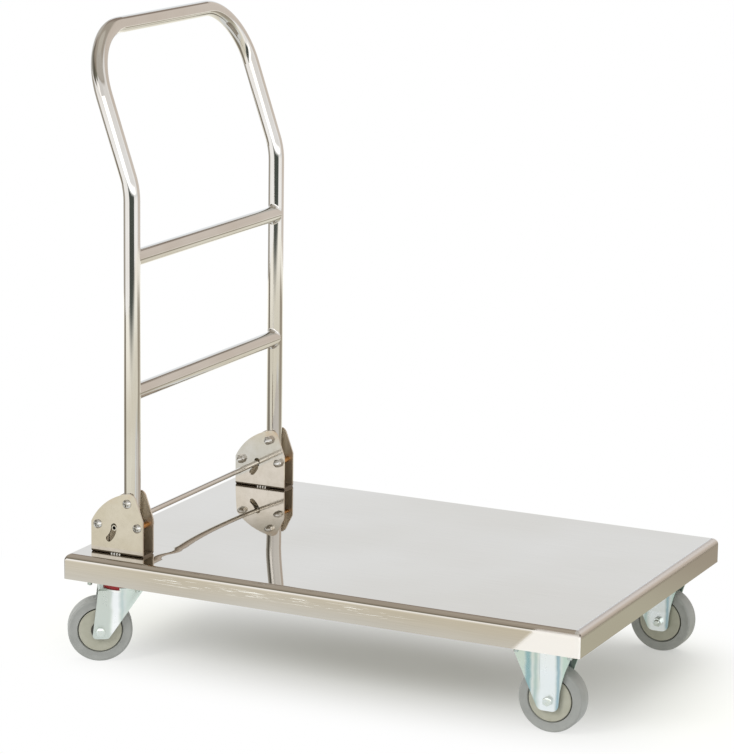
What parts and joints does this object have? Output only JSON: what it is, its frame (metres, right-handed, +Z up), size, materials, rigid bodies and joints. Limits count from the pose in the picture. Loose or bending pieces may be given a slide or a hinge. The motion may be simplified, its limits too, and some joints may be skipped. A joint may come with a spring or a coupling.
{
  "type": "platform trolley",
  "caption": "Stainless steel platform trolley with a flat deck, a folding tubular push handle with a foot release, and swivel and fixed casters.",
  "frame": {"origin": "on the floor under the middle of the whole trolley's box at rest", "axes": "+X along the deck away from the handle, +Y across it to the far side, +Z up"},
  "size_m": [0.8644, 0.575, 0.9827],
  "materials": {
    "polished_stainless": "polished stainless steel, faintly brushed",
    "mill_stainless": "mill finish stainless sheet",
    "stainless_fastener": "bright stainless fasteners",
    "zinc_plated_steel": "bright blue zinc plate on pressed steel",
    "zinc_fastener": "bright zinc plate",
    "turned_steel": "turned steel",
    "spring_steel": "oiled spring wire",
    "bearing_steel": "ground bearing balls",
    "brass": "turned brass",
    "red_seal": "moulded red plastic",
    "grey_rubber": "moulded grey rubber",
    "disc_plastic": "moulded grey-green plastic",
    "rim_plastic": "moulded plastic",
    "bush_nylon": "nylon bush"
  },
  "bodies": {
    "deck": {"deck_pan": "polished_stainless", "handle_end_channel": "mill_stainless", "load_end_channel": "mill_stainless", "return_springs": "spring_steel", "bracket_screws": "stainless_fastener", "bracket_nuts": "stainless_fastener", "caster_bolts": "zinc_fastener", "caster_nuts": "zinc_fastener", "latch_sleeves": "turned_steel", "stop_sleeves": "brass", "near_long_channel": "mill_stainless", "near_bracket": "polished_stainless", "near_swivel_plate": "zinc_plated_steel", "near_fixed_plate": "zinc_plated_steel", "near_fixed_fork": "zinc_plated_steel", "far_long_channel": "mill_stainless", "far_bracket": "polished_stainless", "far_swivel_plate": "zinc_plated_steel", "far_fixed_plate": "zinc_plated_steel", "far_fixed_fork": "zinc_plated_steel", "kingpins": "zinc_plated_steel", "swivel_balls": "bearing_steel", "swivel_seals": "red_seal", "fixed_axles": "zinc_fastener", "fixed_axle_nuts": "zinc_fastener", "fixed_spacers": "turned_steel"},
    "handle": {"handle_tube": "polished_stainless", "upper_rung": "polished_stainless", "lower_rung": "polished_stainless", "pivot_sleeves": "turned_steel"},
    "release_bar": {"release_rod": "polished_stainless", "near_latch_arm": "zinc_plated_steel", "far_latch_arm": "zinc_plated_steel"},
    "near_swivel": {"near_swivel_fork": "zinc_plated_steel", "near_swivel_axle": "zinc_fastener", "near_swivel_axle_nut": "zinc_fastener", "near_swivel_spacer": "turned_steel"},
    "far_swivel": {"far_swivel_fork": "zinc_plated_steel", "far_swivel_axle": "zinc_fastener", "far_swivel_axle_nut": "zinc_fastener", "far_swivel_spacer": "turned_steel"},
    "near_swivel_wheel": {"near_swivel_tyre": "grey_rubber", "near_swivel_rim": "rim_plastic", "near_swivel_discs": "disc_plastic", "near_swivel_bush": "bush_nylon"},
    "far_swivel_wheel": {"far_swivel_tyre": "grey_rubber", "far_swivel_rim": "rim_plastic", "far_swivel_discs": "disc_plastic", "far_swivel_bush": "bush_nylon"},
    "near_fixed_wheel": {"near_fixed_tyre": "grey_rubber", "near_fixed_rim": "rim_plastic", "near_fixed_discs": "disc_plastic", "near_fixed_bush": "bush_nylon"},
    "far_fixed_wheel": {"far_fixed_tyre": "grey_rubber", "far_fixed_rim": "rim_plastic", "far_fixed_discs": "disc_plastic", "far_fixed_bush": "bush_nylon"}
  },
  "joints": [
    {"name": "handle_fold", "type": "hinge", "parent": "deck", "child": "handle", "pos_m": [-0.32976, 0, 0.256], "axis": [0, 1, 0], "range_deg": [0, 97]},
    {"name": "release_press", "type": "hinge", "parent": "deck", "child": "release_bar", "pos_m": [-0.38126, 0, 0.2185], "axis": [0, 1, 0], "range_deg": [0, 20], "stiffness_Nm_per_rad": 1.5, "springref_deg": -34.38, "deforming": ["return_springs"]},
    {"name": "near_swivel_turn", "type": "hinge", "parent": "deck", "child": "near_swivel", "pos_m": [-0.35276, -0.223, 0.118], "axis": [0, 0, 1], "continuous": true},
    {"name": "far_swivel_turn", "type": "hinge", "parent": "deck", "child": "far_swivel", "pos_m": [-0.35276, 0.223, 0.118], "axis": [0, 0, 1], "continuous": true},
    {"name": "near_swivel_roll", "type": "hinge", "parent": "near_swivel", "child": "near_swivel_wheel", "pos_m": [-0.38329, -0.24208, 0.05], "axis": [-0.5299, 0.848, 0], "continuous": true},
    {"name": "near_fixed_roll", "type": "hinge", "parent": "deck", "child": "near_fixed_wheel", "pos_m": [0.36724, -0.223, 0.05], "axis": [0, 1, 0], "continuous": true},
    {"name": "far_swivel_roll", "type": "hinge", "parent": "far_swivel", "child": "far_swivel_wheel", "pos_m": [-0.38329, 0.24208, 0.05], "axis": [0.5299, 0.848, 0], "continuous": true},
    {"name": "far_fixed_roll", "type": "hinge", "parent": "deck", "child": "far_fixed_wheel", "pos_m": [0.36724, 0.223, 0.05], "axis": [0, 1, 0], "continuous": true}
  ]
}
